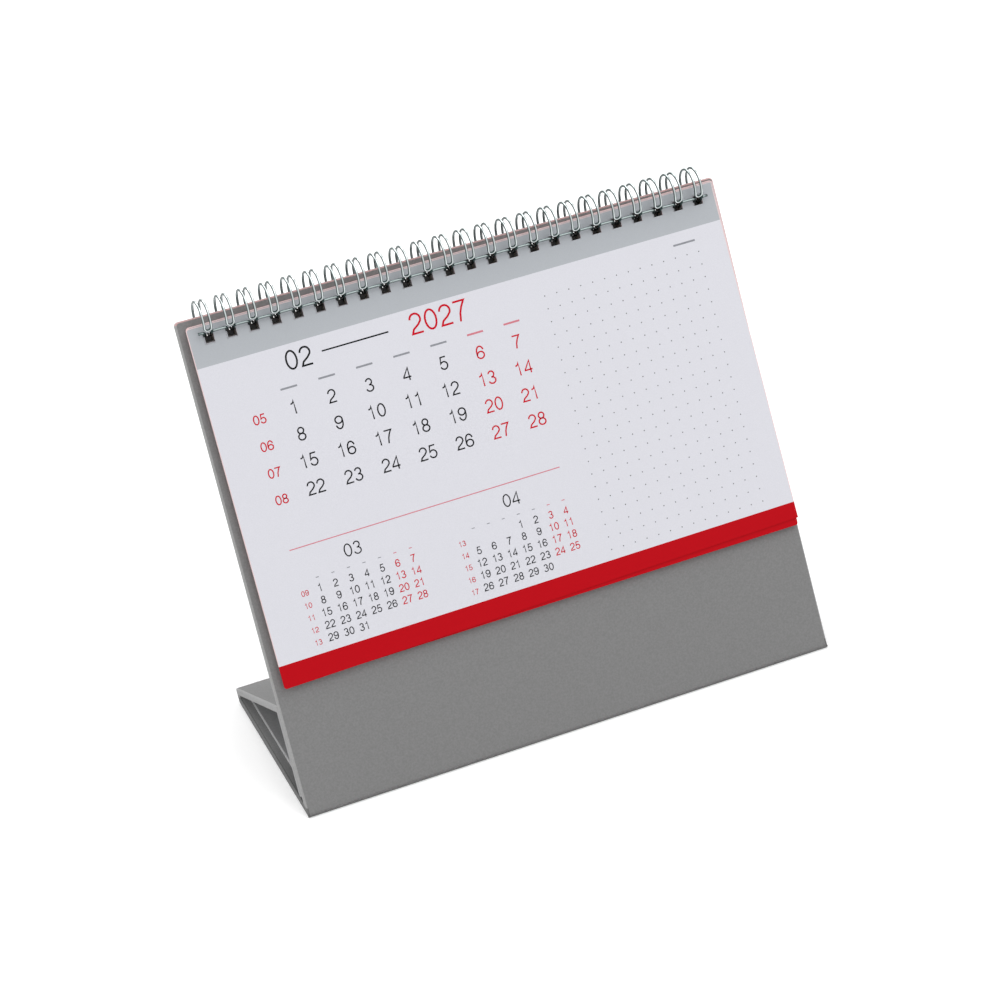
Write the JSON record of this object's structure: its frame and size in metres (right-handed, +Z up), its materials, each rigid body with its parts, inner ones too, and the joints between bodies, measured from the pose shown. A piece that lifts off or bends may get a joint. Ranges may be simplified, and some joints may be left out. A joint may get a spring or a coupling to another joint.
{
  "type": "desk calendar",
  "caption": "Wire-bound desk calendar: monthly sheets on a loop binding, hung from a cloth-finish board easel with a folded triangular foot.",
  "frame": {"origin": "middle of the base's underside, on the table", "axes": "+X along the calendar to the reader's right, +Y from the front to the back, +Z up"},
  "size_m": [0.214, 0.0939, 0.1704],
  "materials": {
    "greyboard": "raw greyboard",
    "cover_paper": "matte, fine linen grain",
    "lining_paper": "matte",
    "sheet_paper": "satin coated, printed",
    "silver_wire": "silver lacquer"
  },
  "bodies": {
    "stand": {"front_board": "greyboard", "base_board": "greyboard", "ledge_board": "greyboard", "flap_board": "greyboard", "cover_wrap": "cover_paper", "back_lining": "lining_paper", "tunnel_lining": "lining_paper"},
    "binding": {"wire_binding": "silver_wire"},
    "february": {"february_sheet": "sheet_paper"},
    "march": {"march_sheet": "sheet_paper"},
    "april": {"april_sheet": "sheet_paper"},
    "may": {"may_sheet": "sheet_paper"},
    "june": {"june_sheet": "sheet_paper"},
    "july": {"july_sheet": "sheet_paper"},
    "august": {"august_sheet": "sheet_paper"},
    "september": {"september_sheet": "sheet_paper"},
    "october": {"october_sheet": "sheet_paper"},
    "november": {"november_sheet": "sheet_paper"},
    "december": {"december_sheet": "sheet_paper"}
  },
  "joints": [
    {"name": "binding_turn", "type": "hinge", "parent": "stand", "child": "binding", "pos_m": [0, 0.04845, 0.16316], "axis": [-1, 0, 0], "range_deg": [0, 264]},
    {"name": "february_swing", "type": "hinge", "parent": "binding", "child": "february", "pos_m": [0, 0.04375, 0.15966], "axis": [-1, 0, 0], "range_deg": [0, 67.2]},
    {"name": "march_lift", "type": "hinge", "parent": "stand", "child": "march", "pos_m": [0, 0.04845, 0.16316], "axis": [-1, 0, 0], "range_deg": [0, 52.8]},
    {"name": "april_lift", "type": "hinge", "parent": "stand", "child": "april", "pos_m": [0, 0.04845, 0.16316], "axis": [-1, 0, 0], "range_deg": [0, 47.52]},
    {"name": "may_lift", "type": "hinge", "parent": "stand", "child": "may", "pos_m": [0, 0.04845, 0.16316], "axis": [-1, 0, 0], "range_deg": [0, 42.24]},
    {"name": "june_lift", "type": "hinge", "parent": "stand", "child": "june", "pos_m": [0, 0.04845, 0.16316], "axis": [-1, 0, 0], "range_deg": [0, 36.96]},
    {"name": "july_lift", "type": "hinge", "parent": "stand", "child": "july", "pos_m": [0, 0.04845, 0.16316], "axis": [-1, 0, 0], "range_deg": [0, 31.68]},
    {"name": "august_lift", "type": "hinge", "parent": "stand", "child": "august", "pos_m": [0, 0.04845, 0.16316], "axis": [-1, 0, 0], "range_deg": [0, 26.4]},
    {"name": "september_lift", "type": "hinge", "parent": "stand", "child": "september", "pos_m": [0, 0.04845, 0.16316], "axis": [-1, 0, 0], "range_deg": [0, 21.12]},
    {"name": "october_lift", "type": "hinge", "parent": "stand", "child": "october", "pos_m": [0, 0.04845, 0.16316], "axis": [-1, 0, 0], "range_deg": [0, 15.84]},
    {"name": "november_lift", "type": "hinge", "parent": "stand", "child": "november", "pos_m": [0, 0.04845, 0.16316], "axis": [-1, 0, 0], "range_deg": [0, 10.56]},
    {"name": "december_lift", "type": "hinge", "parent": "stand", "child": "december", "pos_m": [0, 0.04845, 0.16316], "axis": [-1, 0, 0], "range_deg": [0, 5.28]}
  ],
  "couplings": [
    {"joint": "february_swing", "follows": "binding_turn", "ratio": 0.2545},
    {"joint": "march_lift", "follows": "binding_turn", "ratio": 0.2},
    {"joint": "april_lift", "follows": "binding_turn", "ratio": 0.18},
    {"joint": "may_lift", "follows": "binding_turn", "ratio": 0.16},
    {"joint": "june_lift", "follows": "binding_turn", "ratio": 0.14},
    {"joint": "july_lift", "follows": "binding_turn", "ratio": 0.12},
    {"joint": "august_lift", "follows": "binding_turn", "ratio": 0.1},
    {"joint": "september_lift", "follows": "binding_turn", "ratio": 0.08},
    {"joint": "october_lift", "follows": "binding_turn", "ratio": 0.06},
    {"joint": "november_lift", "follows": "binding_turn", "ratio": 0.04},
    {"joint": "december_lift", "follows": "binding_turn", "ratio": 0.02}
  ]
}
